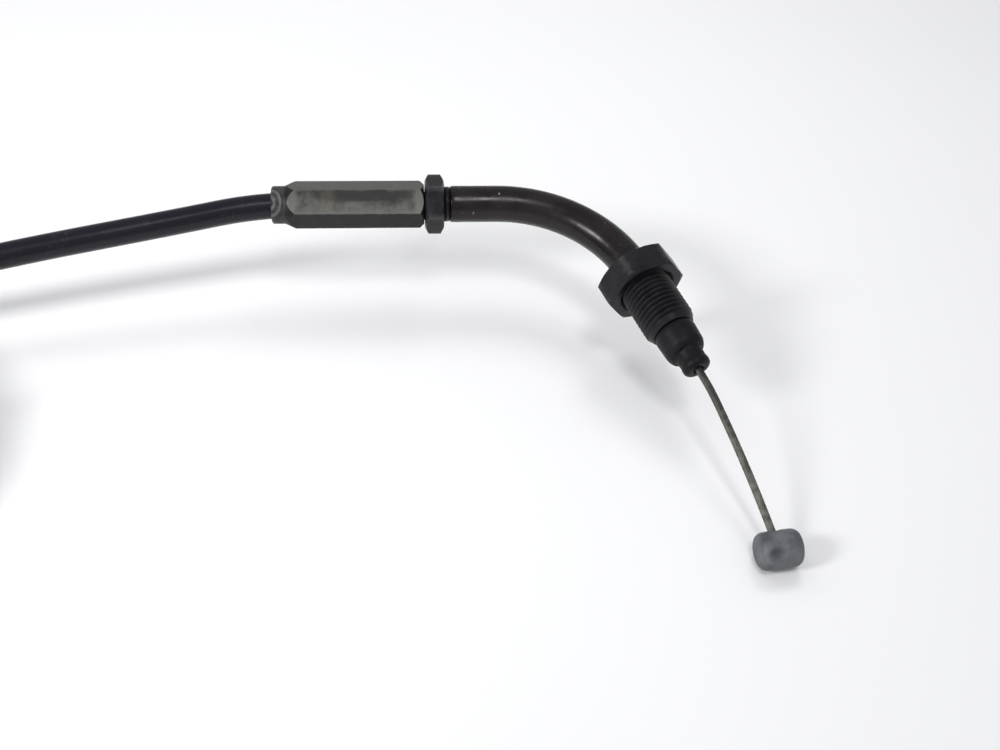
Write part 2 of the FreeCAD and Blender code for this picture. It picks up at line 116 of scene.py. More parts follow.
COIL_CENTRE = Vector((BARREL.x - 108 * MM, BARREL.y - 51 * MM, 0.9 * MM))
COIL_MEAN_RADIUS = 27.5 * MM
COIL_MIDDLE_HEIGHT = 7.5 * MM                            # above COIL_CENTRE
COIL_EXIT_ANGLE = 235.0


# ---- mesh helpers ---------------------------------------------------------------------------
def mesh_object(name, vertices, faces, smooth=True):
    mesh = bpy.data.meshes.new(name)
    mesh.from_pydata([tuple(v) for v in vertices], [], faces)
    tidy = bmesh.new()
    tidy.from_mesh(mesh)
    bmesh.ops.recalc_face_normals(tidy, faces=tidy.faces)
    tidy.to_mesh(mesh)
    tidy.free()
    if smooth:
        mesh.shade_smooth()
    else:
        mesh.shade_flat()
    piece = bpy.data.objects.new(name, mesh)
    bpy.context.scene.collection.objects.link(piece)
    return piece


def cross_frame(axis):
    """Two unit vectors square to an axis."""
    axis = axis.normalized()
    helper = UP if abs(axis.z) < 0.9 else AXIS_X
    first = helper.cross(axis).normalized()
    return first, axis.cross(first)


def softened(corners, steps=4):
    """Outline of (distance, radius) with each (distance, radius, rounding) corner turned into an arc."""
    outline = []
    for i, (d, r, rounding) in enumerate(corners):
        corner = Vector((d, r))
        if rounding == 0 or i in (0, len(corners) - 1):
            outline.append(corner)
            continue
        before = Vector(corners[i - 1][:2]) - corner
        after = Vector(corners[i + 1][:2]) - corner
        reach = min(rounding, before.length * 0.49, after.length * 0.49)
        start = corner + before.normalized() * reach
        end = corner + after.normalized() * reach
        for step in range(steps + 1):
            t = step / steps
            outline.append(start * (1 - t) ** 2 + corner * 2 * t * (1 - t) + end * t ** 2)
    return [(p.x, p.y) for p in outline]


def grid_faces(rows, columns, loop_rows=False):
    """Quads of a grid that closes round its columns, and round its rows too if loop_rows."""
    faces = []
    last = rows if loop_rows else rows - 1
    for i in range(last):
        j = (i + 1) % rows
        for k in range(columns):
            m = (k + 1) % columns
            faces.append((i * columns + k, i * columns + m, j * columns + m, j * columns + k))
    return faces


def lathe(name, start, axis, outline, columns=96, change=None, closed=False):
    """Turned piece; change(distance, angle, radius) may move a point's radius in or out."""
    first, second = cross_frame(axis)
    vertices = []
    for d, r in outline:
        for k in range(columns):
            angle = 2 * math.pi * k / columns
            radius = r if change is None else change(d, angle, r)
            side = first * math.cos(angle) + second * math.sin(angle)
            vertices.append(start + axis * d + side * radius)
    faces = grid_faces(len(outline), columns, closed)
    if not closed:
        faces.append(tuple(range(columns)))
        faces.append(tuple(range(len(vertices) - columns, len(vertices))))
    return mesh_object(name, vertices, faces)


def thread_form(phase):
    """Depth share of a rounded 60 degree thread at a phase of 0 to 1; 0 at the crest."""
    share = abs((phase % 1) * 2 - 1)
    return min(1.0, max(0.0, (share - 0.12) / 0.76))


def threaded(name, start, axis, length, radius, bore, chamfer, zone, shoulder=None, lead_in=None):
    """Rod with a bore and a real helical thread over zone, as one closed surface.

    shoulder is the (radius, length) of a plain step past the thread, and lead_in the (length, drop)
    of the thread's far end.
    """
    taper, drop = lead_in or (chamfer, chamfer)
    columns = THREAD_COLUMNS
    rows = int(round(length / (PITCH / ROWS_PER_TURN)))

    def outer(d, angle):
        limit = min(radius, radius - chamfer + d, radius - drop + (length - d) * drop / taper)
        if not zone[0] <= d <= zone[1]:
            return limit
        fade = min(1.0, (d - zone[0]) / PITCH + 0.15, (zone[1] - d) / PITCH + 0.15)
        form = thread_form(d / PITCH - angle / (2 * math.pi))
        return min(limit, radius - THREAD_DEPTH * form * fade)

    outline = [(length * i / rows, radius) for i in range(rows + 1)]
    if shoulder:
        outline += [(length, shoulder[0]), (length + shoulder[1], shoulder[0])]
    end = outline[-1][0]
    outline += [(end, bore), (0.0, bore)]
    first, second = cross_frame(axis)
    vertices = []
    for i, (d, r) in enumerate(outline):
        for k in range(columns):
            angle = 2 * math.pi * k / columns
            value = outer(d, angle) if i <= rows else r
            side = first * math.cos(angle) + second * math.sin(angle)
            vertices.append(start + axis * d + side * value)
    return mesh_object(name, vertices, grid_faces(len(outline), columns, True))


def framed(points):
    """(point, tangent, side, other side) along a line, with no twist from one to the next."""
    tangents = []
    for i in range(len(points)):
        before = points[max(i - 1, 0)]
        after = points[min(i + 1, len(points) - 1)]
        tangents.append((after - before).normalized())
    side = cross_frame(tangents[0])[0]
    frames = []
    for point, tangent in zip(points, tangents):
        side = (side - tangent * side.dot(tangent)).normalized()
        frames.append((point, tangent, side, tangent.cross(side)))
    return frames


def swept(name, points, section, twist_length=None, bore=None):
    """Round piece along points; section(distance, angle) gives the radius."""
    columns = SWEPT_COLUMNS
    frames = framed(points)
    distance = 0.0
    vertices = []
    travelled = [0.0]
    for a, b in zip(points, points[1:]):
        distance += (b - a).length
        travelled.append(distance)
    for (point, _, side, other), d in zip(frames, travelled):
        twist = 0 if twist_length is None else 2 * math.pi * d / twist_length
        for k in range(columns):
            angle = 2 * math.pi * k / columns
            radius = section(d, angle)
            turn = angle + twist
            vertices.append(point + (side * math.cos(turn) + other * math.sin(turn)) * radius)
    rows = len(points)
    if bore is None:
        faces = grid_faces(rows, columns)
        faces.append(tuple(range(columns)))
        faces.append(tuple(range(len(vertices) - columns, len(vertices))))
        return mesh_object(name, vertices, faces)
    for point, _, side, other in reversed(frames):
        for k in range(columns):
            turn = 2 * math.pi * k / columns
            vertices.append(point + (side * math.cos(turn) + other * math.sin(turn)) * bore)
    return mesh_object(name, vertices, grid_faces(2 * rows, columns, True))


# ---- material helpers -----------------------------------------------------------------------
class Shader:
    """A principled material whose nodes are added one call at a time."""

    def __init__(self, name):
        self.material = bpy.data.materials.new(name)
        self.material.use_nodes = True
        self.tree = self.material.node_tree
        self.surface = self.tree.nodes["Principled BSDF"]
        self.coordinates = self.node("ShaderNodeTexCoord").outputs["Object"]

    def node(self, kind, **values):
        made = self.tree.nodes.new(kind)
        for key, value in values.items():
            setattr(made, key, value)
        return made

    def set(self, **values):
        for key, value in values.items():
            self.surface.inputs[key.replace("_", " ")].default_value = value

    def link(self, source, target):
        self.tree.links.new(source, target)

    def drive(self, socket, source):
        self.link(source, self.surface.inputs[socket])

    def noise(self, scale, detail=4.0, roughness=0.55, coordinates=None, stretch=None):
        made = self.node("ShaderNodeTexNoise")
        made.inputs["Scale"].default_value = scale
        made.inputs["Detail"].default_value = detail
        made.inputs["Roughness"].default_value = roughness
        source = coordinates or self.coordinates
        if stretch:
            mapping = self.node("ShaderNodeMapping")
            mapping.inputs["Scale"].default_value = stretch
            self.link(source, mapping.inputs["Vector"])
            source = mapping.outputs["Vector"]
        self.link(source, made.inputs["Vector"])
        return made.outputs["Fac"]

    def ramp(self, source, low, high, start=0.0, end=1.0):
        """Smooth step of source from low to high, giving start to end."""
        made = self.node("ShaderNodeMapRange", interpolation_type="SMOOTHSTEP")
        made.inputs["From Min"].default_value = low
        made.inputs["From Max"].default_value = high
        made.inputs["To Min"].default_value = start
        made.inputs["To Max"].default_value = end
        self.link(source, made.inputs["Value"])
        return made.outputs["Result"]

    def math(self, operation, first, second):
        made = self.node("ShaderNodeMath", operation=operation)
        for socket, value in zip(made.inputs, (first, second)):
            if isinstance(value, (int, float)):
                socket.default_value = value
            else:
                self.link(value, socket)
        return made.outputs["Value"]

    def mix(self, share, first, second):
        made = self.node("ShaderNodeMix", data_type="RGBA")
        self.link(share, made.inputs["Factor"])
        for socket, value in ((made.inputs[6], first), (made.inputs[7], second)):
            if isinstance(value, tuple):
                socket.default_value = (*value, 1.0)
            else:
                self.link(value, socket)
        return made.outputs[2]

    def bump(self, height, strength, distance=0.0002, below=None):
        made = self.node("ShaderNodeBump")
        made.inputs["Strength"].default_value = strength
        made.inputs["Distance"].default_value = distance
        self.link(height, made.inputs["Height"])
        if below is not None:
            self.link(below, made.inputs["Normal"])
        return made.outputs["Normal"]

    def from_point(self, centre, scale=(1, 1, 1)):
        """Distance from a point, squashed by scale."""
        shift = self.node("ShaderNodeVectorMath", operation="SUBTRACT")
        self.link(self.coordinates, shift.inputs[0])
        shift.inputs[1].default_value = centre
        squash = self.node("ShaderNodeVectorMath", operation="MULTIPLY")
        self.link(shift.outputs[0], squash.inputs[0])
        squash.inputs[1].default_value = scale
        length = self.node("ShaderNodeVectorMath", operation="LENGTH")
        self.link(squash.outputs[0], length.inputs[0])
        return length.outputs["Value"]

    def along(self, centre, direction):
        """How far a point lies from centre in one direction."""
        shift = self.node("ShaderNodeVectorMath", operation="SUBTRACT")
        self.link(self.coordinates, shift.inputs[0])
        shift.inputs[1].default_value = centre
        product = self.node("ShaderNodeVectorMath", operation="DOT_PRODUCT")
        self.link(shift.outputs[0], product.inputs[0])
        product.inputs[1].default_value = direction
        return product.outputs["Value"]

    def from_axis(self, centre, axis):
        """Distance from a line through centre."""
        shift = self.node("ShaderNodeVectorMath", operation="SUBTRACT")
        self.link(self.coordinates, shift.inputs[0])
        shift.inputs[1].default_value = centre
        across = self.node("ShaderNodeVectorMath", operation="CROSS_PRODUCT")
        self.link(shift.outputs[0], across.inputs[0])
        across.inputs[1].default_value = axis
        length = self.node("ShaderNodeVectorMath", operation="LENGTH")
        self.link(across.outputs[0], length.inputs[0])
        return length.outputs["Value"]


def housing_jacket():
    """Extruded glossy vinyl: faint ripple, scuffs and a little dust."""
    s = Shader("housing_jacket")
    scuffs = s.ramp(s.noise(260, 8, 0.7), 0.56, 0.72)
    grime = s.noise(90, 5)
    s.drive("Base Color", s.mix(scuffs, (0.007, 0.006, 0.012), (0.022, 0.019, 0.026)))
    smooth_or_grimy = s.ramp(grime, 0.3, 0.75, 0.20, 0.34)
    s.drive("Roughness", s.math("ADD", smooth_or_grimy, s.math("MULTIPLY", scuffs, 0.12)))
    s.set(Specular_IOR_Level=0.3)
    s.drive("Normal", s.bump(s.noise(420, 3), 0.16, 0.0001, s.bump(s.noise(60, 2), 0.35, 0.0004)))
    return s.material


def lacquered_tube():
    """Brown-black lacquer over steel, with small chips and scratches."""
    s = Shader("lacquered_tube")
    chips = s.ramp(s.noise(900, 2, 0.4), 0.735, 0.76)
    patches = s.noise(150, 6, 0.6)
    lacquer = s.mix(s.ramp(patches, 0.35, 0.7), (0.0075, 0.005, 0.006), (0.016, 0.011, 0.011))
    s.drive("Base Color", s.mix(chips, lacquer, (0.19, 0.15, 0.12)))
    s.drive("Roughness", s.ramp(patches, 0.3, 0.75, 0.22, 0.36))
    s.set(Specular_IOR_Level=0.3)
    s.drive("Normal", s.bump(s.noise(700, 4), 0.25, 0.0001, s.bump(s.noise(110, 3), 0.3, 0.0003)))
    return s.material


def black_steel(name, centre, axis, edge_radius):
    """Black plated steel, worn to grey metal where the corners stand out."""
    s = Shader(name)
    radius = s.from_axis(centre, axis)
    rough_edge = s.math("ADD", radius, s.math("MULTIPLY", s.noise(900, 5), 0.0009))
    worn = s.ramp(rough_edge, edge_radius, edge_radius + 0.0005)
    patches = s.noise(240, 7, 0.65)
    specks = s.ramp(s.noise(1500, 3), 0.68, 0.75, 0.0, 0.6)
    plating = s.mix(s.ramp(patches, 0.35, 0.7), (0.0045, 0.004, 0.0055), (0.013, 0.013, 0.017))
    bare = s.mix(specks, plating, (0.06, 0.06, 0.065))
    s.drive("Base Color", s.mix(worn, bare, (0.035, 0.035, 0.04)))
    s.drive("Roughness", s.ramp(patches, 0.3, 0.75, 0.30, 0.5))
    s.set(Metallic=0.05, Specular_IOR_Level=0.28)
    s.drive("Normal", s.bump(s.noise(1100, 5), 0.35, 0.00008, s.bump(patches, 0.25, 0.0003)))
    return s.material


def about_x(degrees):
    """Unit direction square to X, turned from +Y."""
    turn = math.radians(degrees)
    return (0, math.cos(turn), math.sin(turn))


def worn_barrel():
    """Black finish, with painted sheen on the two upper flats: they are coloured lighter grey-green for the light
    they catch, and carry the metal's own streaks and a brown stain.
    """
    s = Shader("worn_barrel")
    drawn = s.noise(520, 6, 0.6, stretch=(0.25, 1, 1))
    mottled = s.noise(330, 7, 0.7)
    uneven = s.math("MULTIPLY", mottled, 0.0002)
    # painted sheen: the two upper flats, which face up towards the lamps, are coloured lighter grey-green; the
    # tone on them is mottled, falls off towards their upper edge and dips at one dull patch
    main_flat_sheen = s.ramp(s.math("ADD", s.along(BARREL, about_x(135)), uneven), 0.00400, 0.00408)
    top_flat_sheen = s.ramp(s.math("ADD", s.along(BARREL, about_x(75)), uneven), 0.00400, 0.00408)
    across = s.math("MULTIPLY", s.along(BARREL, about_x(45)), -95.0)
    dull_place = s.from_point(BARREL + Vector((2.0, -2.0, 3.6)) * MM, (0.22, 1, 1))
    dull = s.ramp(dull_place, 0.0004, 0.0026, -0.22, 0.0)
    tone = s.math("ADD", s.math("ADD", mottled, across), dull)
    flat_sheen_tone = s.mix(s.ramp(tone, 0.22, 0.78), (0.022, 0.022, 0.021), (0.120, 0.122, 0.112))
    streaks = s.mix(s.ramp(drawn, 0.5, 0.78, 0.0, 0.45), flat_sheen_tone, (0.145, 0.145, 0.134))
    stain_place = s.from_point(BARREL + Vector((-6.6, -2.8, 2.8)) * MM, (1, 0.5, 0.5))
    stain = s.math("ADD", stain_place, s.math("MULTIPLY", s.noise(420, 5), 0.0026))
    stained = s.mix(s.ramp(stain, 0.0014, 0.0036, 0.3, 0.0), streaks, (0.16, 0.135, 0.092))
    from_middle = s.from_point(BARREL + Vector((-1.2, 0, 0)) * MM, (1, 0, 0))
    ends = s.ramp(s.math("ADD", from_middle, s.math("MULTIPLY", mottled, 0.001)), 0.0112, 0.0124, 0.0, 0.5)
    lighter = s.mix(ends, stained, (0.17, 0.17, 0.16))
    black = s.mix(s.ramp(mottled, 0.4, 0.75), (0.009, 0.0085, 0.009), (0.024, 0.022, 0.022))
    collar = s.ramp(s.along(BARREL, (-1, 0, 0)), 0.0146, 0.0150)
    dents = s.from_point(BARREL + Vector((-17.6, -2.6, 2.6)) * MM, (1, 0.75, 0.75))
    inner = s.ramp(s.math("ABSOLUTE", s.math("SUBTRACT", dents, 0.0009), 0), 0.00012, 0.00034, 0.9, 0.0)
    outer = s.ramp(s.math("ABSOLUTE", s.math("SUBTRACT", dents, 0.0020), 0), 0.00012, 0.00034, 0.7, 0.0)
    marks = s.math("MULTIPLY", s.math("ADD", inner, outer), s.ramp(mottled, 0.36, 0.56))
    dull_grey = s.mix(s.ramp(s.noise(620, 5), 0.35, 0.65), (0.022, 0.021, 0.021), (0.050, 0.049, 0.047))
    crimped = s.mix(marks, dull_grey, (0.16, 0.16, 0.152))
    plain = s.mix(collar, black, crimped)
    # painted sheen on the main flat, lighter still at both ends, and a plainer painted sheen on the top flat;
    # black with the crimped collar elsewhere
    surface = s.mix(main_flat_sheen, s.mix(top_flat_sheen, plain, (0.085, 0.086, 0.080)), lighter)
    radius = s.from_axis(BARREL, AXIS_X)
    edge = s.math("ADD", radius, s.math("MULTIPLY", s.noise(700, 4), 0.0006))
    s.drive("Base Color", s.mix(s.ramp(edge, 0.0047, 0.0050, 0.0, 0.4), surface, (0.13, 0.13, 0.12)))
    s.drive("Roughness", s.ramp(mottled, 0.3, 0.75, 0.38, 0.56))
    s.set(Metallic=0.15, Specular_IOR_Level=0.3)
    s.drive("Normal", s.bump(drawn, 0.3, 0.0001, s.bump(mottled, 0.35, 0.00015)))
    return s.material


def plated_steel(name="plated_steel"):
    """Zinc-plated steel with a soft cloudy bloom."""
    s = Shader(name)
    cloud = s.noise(200, 6, 0.6)
    s.drive("Base Color", s.mix(s.ramp(cloud, 0.35, 0.7), (0.34, 0.34, 0.32), (0.52, 0.52, 0.50)))
    s.drive("Roughness", s.ramp(cloud, 0.3, 0.75, 0.26, 0.42))
    s.set(Metallic=0.95)
    s.drive("Normal", s.bump(s.noise(1200, 5), 0.25, 0.00006))
    return s.material


def wire_strand():
    """Greasy steel strand: dark in the grooves, grey-green on the crowns."""
    s = Shader("wire_strand")
    grease = s.noise(700, 5)
    steel = s.mix(s.ramp(grease, 0.35, 0.7), (0.085, 0.085, 0.074), (0.19, 0.19, 0.165))
    near_boot = s.ramp(s.along(BEND_END, THREAD_AXIS), 0.028, 0.046, 0.62, 0.0)
    s.drive("Base Color", s.mix(near_boot, steel, (0.03, 0.03, 0.031)))
    s.drive("Roughness", s.ramp(grease, 0.3, 0.7, 0.34, 0.52))
    s.set(Metallic=0.6)
    s.drive("Normal", s.bump(s.noise(2500, 3), 0.2, 0.00004))
    return s.material


def zinc():
    """Sand-grained die-cast zinc, with painted shade in the cast hollow and where the wire enters."""
    s = Shader("zinc")
    grain = s.noise(1300, 6, 0.65)
    patches = s.noise(300, 5)
    cast = s.mix(s.ramp(patches, 0.3, 0.7), (0.078, 0.086, 0.096), (0.170, 0.180, 0.190))
    # painted shade: darker in and around the cast hollow in the nipple's front
    hollow = s.from_point(NIPPLE + hollow_direction() * 3.2 * MM - NIPPLE_AXIS * HOLLOW_OFFSET)
    cast = s.mix(s.ramp(hollow, 0.0003, 0.0021, 0.55, 0.0), cast, (0.040, 0.043, 0.048))
    # painted shade where the wire enters the nipple
    wire_entry_shade = s.from_point(NIPPLE + Vector((-0.9, 2.4, 2.0)) * MM)
    s.drive("Base Color", s.mix(s.ramp(wire_entry_shade, 0.0008, 0.0018, 0.5, 0.0), cast, (0.04, 0.042, 0.045)))
    s.drive("Roughness", s.ramp(patches, 0.3, 0.7, 0.48, 0.66))
    s.set(Metallic=0.35, Specular_IOR_Level=0.4)
    s.drive("Normal", s.bump(grain, 0.5, 0.00012, s.bump(patches, 0.3, 0.0003)))
    return s.material


def rubber():
    """Moulded black rubber with a dusty bloom."""
    s = Shader("black_rubber")
    dust = s.noise(420, 7, 0.7)
    s.drive("Base Color", s.mix(s.ramp(dust, 0.45, 0.8), (0.004, 0.0032, 0.005), (0.011, 0.010, 0.014)))
    s.drive("Roughness", s.ramp(dust, 0.3, 0.8, 0.42, 0.62))
    s.set(Specular_IOR_Level=0.2)
    s.drive("Normal", s.bump(s.noise(900, 6), 0.4, 0.0001))
    return s.material


def plain_plastic(name, dark, light, roughness):
    """Moulded plastic with a fine grain."""
    s = Shader(name)
    grain = s.noise(800, 5)
    s.drive("Base Color", s.mix(grain, dark, light))
    s.drive("Roughness", s.ramp(grain, 0.3, 0.7, roughness - 0.06, roughness + 0.08))
    s.drive("Normal", s.bump(grain, 0.2, 0.00008))
    return s.material


def floor_material():
    """White board, a little uneven."""
    s = Shader("white_board")
    s.drive("Base Color", s.mix(s.noise(9, 4), (0.855, 0.855, 0.86), (0.885, 0.885, 0.89)))
    s.set(Roughness=0.6, Specular_IOR_Level=0.2)
    return s.material


# ---- the free housing: one curve through lead, coil and tail --------------------------------
# Each turn lies in a lane, given as (offset from the mean radius, height) in millimetres.
LANES = [(2.5, 12.5), (-2.5, 12.5), (-2.5, 7.5), (-2.5, 2.5), (2.5, 2.5), (2.5, 7.5)]
# Running angles round the coil, in degrees: where it starts and ends, and where and how the lanes change.
COIL_START = 106.0
COIL_END = 5 * 360.0 + COIL_EXIT_ANGLE
FIRST_CHANGE = 405.0
LANE_SPAN = 320.0
LANE_CHANGE = 40.0
COIL_STEPS = 107


def lane_at(angle):
    """(offset from the mean radius, height) of the turn at a running angle, in millimetres."""
    place = list(LANES[0])
    for step, (before, after) in enumerate(zip(LANES, LANES[1:])):
        share = (angle - FIRST_CHANGE - LANE_SPAN * step) / LANE_CHANGE
        share = min(1.0, max(0.0, share))
        share = share * share * (3 - 2 * share)
        place[0] += (after[0] - before[0]) * share
        place[1] += (after[1] - before[1]) * share
    return place


def coil_points():
    points = []
    for i in range(COIL_STEPS + 1):
        angle = COIL_START + (COIL_END - COIL_START) * i / COIL_STEPS
        offset, height = lane_at(angle)
        radius = COIL_MEAN_RADIUS + offset * MM
        turn = math.radians(angle)
        points.append(COIL_CENTRE + Vector((radius * math.cos(turn), radius * math.sin(turn), height * MM)))
    return points


LEAD_ROUTE = [
    BARREL + Vector((-11.4, 0, 0)) * MM,
    BARREL + Vector((-20.0, 0, 0)) * MM,
    BARREL + Vector((-36.0, -2.9, -1.8)) * MM,
    BARREL + Vector((-65.0, -8.9, -4.0)) * MM,
    BARREL + Vector((-91.3, -15.2, -6.6)) * MM,
]
exit_turn = math.radians(COIL_EXIT_ANGLE)
exit_radius = 30.0                                       # of the last lane, in millimetres
exit_height = LANES[-1][1]
COIL_EXIT = COIL_CENTRE + MM * Vector(
    (exit_radius * math.cos(exit_turn), exit_radius * math.sin(exit_turn), exit_height)
)
TAIL_ROUTE = [
    COIL_EXIT + CARB_AXIS * 9.0 * MM,
    COIL_EXIT + CARB_AXIS * 21.0 * MM + Vector((0, 0, -3.3)) * MM,
    COIL_EXIT + CARB_AXIS * 30.5 * MM + Vector((0, 0, -3.3)) * MM,
]


def nurbs_curve(name, points, radius):
    """Round cord; its radius is on its points, because a curve's bounding box grows by theirs."""
    curve = bpy.data.curves.new(name, "CURVE")
    curve.dimensions = "3D"
    curve.resolution_u = 8
    curve.bevel_depth = 1.0
    curve.bevel_resolution = 9
    curve.use_fill_caps = True
    spline = curve.splines.new("NURBS")
    spline.points.add(len(points) - 1)
    for target, point in zip(spline.points, points):
        target.co = (*point, 1.0)
        target.radius = radius
    spline.order_u = 3
    spline.use_endpoint_u = True
    spline.use_smooth = True
    piece = bpy.data.objects.new(name, curve)
    bpy.context.scene.collection.objects.link(piece)
    return piece


def line_length(piece):
    """Length of a curve's own line, without its bevel.
    """
    curve = piece.data
    depth = curve.bevel_depth
    curve.bevel_depth = 0
    bpy.context.view_layer.update()
    line = bpy.data.meshes.new_from_object(piece.evaluated_get(bpy.context.evaluated_depsgraph_get()))
    curve.bevel_depth = depth
    points = [v.co.copy() for v in line.vertices]
    bpy.data.meshes.remove(line)
    return sum((b - a).length for a, b in zip(points, points[1:]))


def make_housing():
    route = LEAD_ROUTE + coil_points() + TAIL_ROUTE
    housing = nurbs_curve("housing", route, HOUSING_RADIUS)
    housing.data.materials.append(housing_jacket())
    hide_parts("housing_lead", "housing_coil", "housing_tail")
    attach(housing, "housing")
    return housing


# ---- centrelines ----------------------------------------------------------------------------
def bend_point(angle):
    along = AXIS_X * math.sin(angle)
    across = SIDEWAYS * (1 - math.cos(angle))
    return BEND_START + (along + across) * BEND_RADIUS


def elbow_line(spacing=0.5 * MM):
    start = BARREL + AXIS_X * ELBOW_START
    points = []
    run = BEND_START - start
    steps = int(run.length / spacing)
    points += [start + run * i / steps for i in range(steps)]
    steps = int(BEND_RADIUS * BEND_ANGLE / spacing)
    points += [bend_point(BEND_ANGLE * i / steps) for i in range(steps)]
    points += [BEND_END + THREAD_AXIS * 9 * MM * i / 12 for i in range(13)]
    return points


def arc_end(start, heading, side, length, turn):
    """Where an arc of that length and turn ends, and which way it then heads."""
    if abs(turn) < 1e-6:
        return start + heading * length, heading, side
    radius = length / turn
    point = start + heading * radius * math.sin(turn) + side * radius * (1 - math.cos(turn))
    new_heading = heading * math.cos(turn) + side * math.sin(turn)
    new_side = side * math.cos(turn) - heading * math.sin(turn)
    return point, new_heading, new_side


def handlebar_wire_line(spacing=0.3 * MM):
    """Straight inside the sleeve, a short bend out of the boot and a longer one to the nipple."""
    tip = BEND_END + THREAD_AXIS * BOOT_TIP
    tail = BEND_END + THREAD_AXIS * 1.8 * MM
    chord = NIPPLE - tip
    droop = (chord - THREAD_AXIS * chord.dot(THREAD_AXIS)).normalized()
    first_length = 7 * MM
    first_turn = math.radians(8.5)
    steps = int((tip - tail).length / spacing)
    points = [tail + (tip - tail) * i / steps for i in range(steps)]
    steps = int(first_length / spacing)
    for i in range(steps):
        share = i / steps
        points.append(arc_end(tip, THREAD_AXIS, droop, first_length * share, first_turn * share)[0])
    knee, heading, side = arc_end(tip, THREAD_AXIS, droop, first_length, first_turn)
    rest = NIPPLE - knee
    turn = 2 * heading.angle(rest)
    side = (rest - heading * rest.dot(heading)).normalized()
    length = rest.length / 2 / math.sin(turn / 2) * turn
    steps = int(length / spacing)
    for i in range(steps - 2):
        share = i / steps
        points.append(arc_end(knee, heading, side, length * share, turn * share)[0])
    return points


# ---- pieces of the handlebar end ------------------------------------------------------------
def dress(piece, material, body, nodes):
    """Gives a new piece its material, body and replaced nodes."""
    piece.data.materials.clear()
    piece.data.materials.append(material)
    if nodes:
        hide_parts(*nodes)
    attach(piece, body)
    return piece


def strand_section(radius):
    """Outline of the round outer wires, as (distance, angle) -> radius."""
    count = OUTER_WIRES
    wire = radius * OUTER_WIRE_SHARE
    centre = radius - wire

    def section(_, angle):
        away = (angle % (2 * math.pi / count)) - math.pi / count
        inside = max(0.0, wire ** 2 - (centre * math.sin(away)) ** 2)
        return centre * math.cos(away) + math.sqrt(inside)

    return section


def make_wires(strand):
    line = handlebar_wire_line()
    piece = swept("handlebar_wire", line, strand_section(WIRE_RADIUS), twist_length=STRAND_LAY)
    dress(piece, strand, "handlebar_wire", ["handlebar_inner_wire"])
    start = CARB_BOOT_TIP - CARB_AXIS * 1.5 * MM
    length = CARB_WIRE_LENGTH - 0.5 * MM
    steps = int(length / (0.3 * MM))
    line = [start + CARB_AXIS * length * i / steps for i in range(steps + 1)]
    piece = swept("carb_wire", line, strand_section(WIRE_RADIUS), twist_length=STRAND_LAY)
    dress(piece, strand, "carb_wire", ["carb_inner_wire"])


def make_elbow(material):
    line = elbow_line()
    rounding = 0.7 * MM

    def section(d, _):
        if d >= rounding:
            return ELBOW_RADIUS
        return ELBOW_RADIUS - rounding + math.sqrt(rounding ** 2 - (rounding - d) ** 2)

    fine_start = [line[0] + AXIS_X * rounding * (1 - math.cos(math.radians(15 * i))) for i in range(1, 6)]
    line = line[:1] + fine_start + [p for p in line[1:] if (p - line[0]).length > rounding]
    tube = swept("elbow", line, section, bore=ELBOW_BORE)
    dress(tube, material, "elbow", ["elbow_tube"])


def make_sleeve():
    material = black_steel("sleeve_steel", BEND_END, THREAD_AXIS, edge_radius=0.0056)
    start = BEND_END + THREAD_AXIS * SLEEVE_START
    length = SLEEVE_END - SLEEVE_START
    sleeve = threaded(
        "sleeve", start, THREAD_AXIS, length, SLEEVE_RADIUS, bore=3.05 * MM, chamfer=0.9 * MM,
        zone=(0, length), lead_in=(1.6 * MM, 0.8 * MM),
    )
    dress(sleeve, material, "elbow", ["threaded_sleeve"])


def make_stud():
    material = black_steel("stud_steel", BARREL, AXIS_X, edge_radius=0.0056)
    start = BARREL - AXIS_X * 2.0 * MM
    length = 17.9 * MM
    stud = threaded(
        "stud", start, AXIS_X, length, STUD_RADIUS, bore=1.5 * MM, chamfer=0.6 * MM,
        zone=(0, length - 0.8 * MM), shoulder=(3.4 * MM, 1.0 * MM),
    )
    dress(stud, material, "elbow", ["elbow_stud"])


def sag_boot(boot):
    """Pushes the boot's step back on its upper side, as the soft rubber sits in use."""
    upper_side = (UP - THREAD_AXIS * UP.dot(THREAD_AXIS)).normalized()
    step_at, step_reach, boot_radius, sag = 20.8, 2.6, 4.0, 0.45    # in millimetres
    for vertex in boot.data.vertices:
        offset = vertex.co - BEND_END
        along = offset.dot(THREAD_AXIS) / MM
        upward = offset.dot(upper_side) / (boot_radius * MM)
        share = max(0.0, 1 - abs(along - step_at) / step_reach)
        vertex.co -= THREAD_AXIS * sag * MM * share * upward


def make_boot(material):
    corners = [
        (11.9, 0.95, 0),
        (11.9, 3.0, 0.1),
        (15.45, 3.0, 0.02),
        (15.45, 3.85, 0.35),
        (16.3, 4.05, 0.6),
        (20.0, 3.85, 1.1),
        (20.95, 3.3, 0.7),
        (21.1, 2.65, 0.3),
        (23.0, 2.55, 0.6),
        (23.6, 2.7, 0.5),
        (24.5, 2.6, 0.6),
        (24.9, 1.9, 0.3),
        (24.9, 1.05, 0.2),
        (24.2, 0.85, 0),
    ]
    outline = softened([(d * MM, r * MM, f * MM) for d, r, f in corners], 5)

    def uneven(d, angle, r):
        """Soft moulding: a little out of round towards the nose."""
        towards_nose = min(1, max(0, (d - 16 * MM) / (6 * MM)))
        return r * (1 + 0.018 * math.sin(2 * angle + d * 300) * towards_nose)

    boot = lathe("boot", BEND_END, THREAD_AXIS, outline, change=uneven, closed=True)
    sag_boot(boot)
    dress(boot, material, "elbow", ["seal_boot"])


